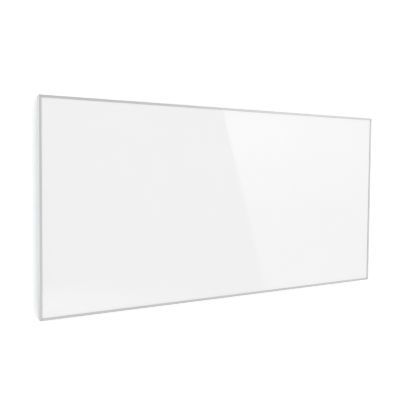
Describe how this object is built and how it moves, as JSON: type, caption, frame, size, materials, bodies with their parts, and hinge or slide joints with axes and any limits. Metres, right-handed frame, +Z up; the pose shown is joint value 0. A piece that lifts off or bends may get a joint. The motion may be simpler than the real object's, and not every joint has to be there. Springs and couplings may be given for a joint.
{
  "type": "infrared panel heater",
  "caption": "Slim wall-hung infrared heating panel with a white glass front, mitred aluminium frame, hook-on wall rail and rear terminal box.",
  "frame": {"origin": "middle of the back face of the wall rail, on the wall plane y = 0", "axes": "+Z up, +Y into the wall, +X to the right of a person facing the panel; the heating face looks along -Y"},
  "size_m": [1.2, 0.05, 0.6],
  "materials": {
    "white_glass": "gloss",
    "frame_aluminium": "satin",
    "rivet_aluminium": "satin",
    "reflector_aluminium": "polished",
    "galvanised_steel": "satin",
    "zinc_steel": "satin",
    "carbon_laminate": "matte",
    "copper": "satin",
    "seal_foam": "matte",
    "mineral_fibre": "matte",
    "phenolic": "satin",
    "black_plastic": "satin",
    "black_rubber": "matte",
    "cream_plastic": "satin",
    "brown_silicone": "satin",
    "blue_silicone": "satin",
    "earth_silicone": "satin"
  },
  "bodies": {
    "wall_side": {"wall_rail": "galvanised_steel"},
    "panel": {"front_glass": "white_glass", "frame_top": "frame_aluminium", "frame_bottom": "frame_aluminium", "frame_left": "frame_aluminium", "frame_right": "frame_aluminium", "corner_key_top_left": "zinc_steel", "corner_key_top_right": "zinc_steel", "corner_key_bottom_left": "zinc_steel", "corner_key_bottom_right": "zinc_steel", "heating_sheet": "carbon_laminate", "busbar_top": "copper", "busbar_bottom": "copper", "edge_seal_top": "seal_foam", "edge_seal_bottom": "seal_foam", "edge_seal_left": "seal_foam", "edge_seal_right": "seal_foam", "reflector_foil": "reflector_aluminium", "insulation_board": "mineral_fibre", "rear_cover": "galvanised_steel", "cover_screw_1": "zinc_steel", "cover_screw_2": "zinc_steel", "cover_screw_3": "zinc_steel", "cover_screw_4": "zinc_steel", "cover_screw_5": "zinc_steel", "cover_screw_6": "zinc_steel", "cover_screw_7": "zinc_steel", "cover_screw_8": "zinc_steel", "cover_screw_9": "zinc_steel", "cover_screw_10": "zinc_steel", "thermal_cutout_1": "phenolic", "thermal_cutout_2": "phenolic", "terminal_box": "black_plastic", "terminal_box_lid": "black_plastic", "lid_gasket": "black_rubber", "lid_screw_1": "zinc_steel", "lid_screw_2": "zinc_steel", "lid_screw_3": "zinc_steel", "lid_screw_4": "zinc_steel", "terminal_block": "cream_plastic", "gland_body": "black_plastic", "gland_lock_nut": "black_plastic", "gland_dome_nut": "black_plastic", "gland_seal": "black_rubber", "live_lead_lower": "brown_silicone", "live_lead_middle": "brown_silicone", "live_lead_upper": "brown_silicone", "neutral_lead": "blue_silicone", "earth_lead": "earth_silicone", "earth_nut": "zinc_steel", "earth_screw": "zinc_steel", "hanger_left": "zinc_steel", "hanger_right": "zinc_steel", "hanger_left_rivet_1": "rivet_aluminium", "hanger_left_rivet_2": "rivet_aluminium", "hanger_right_rivet_1": "rivet_aluminium", "hanger_right_rivet_2": "rivet_aluminium", "wall_spacer_left": "black_rubber", "wall_spacer_right": "black_rubber"}
  },
  "joints": [
    {"name": "panel_lift", "type": "slide", "parent": "wall_side", "child": "panel", "axis": [0, 0, 1], "range_m": [0, 0.013]}
  ]
}
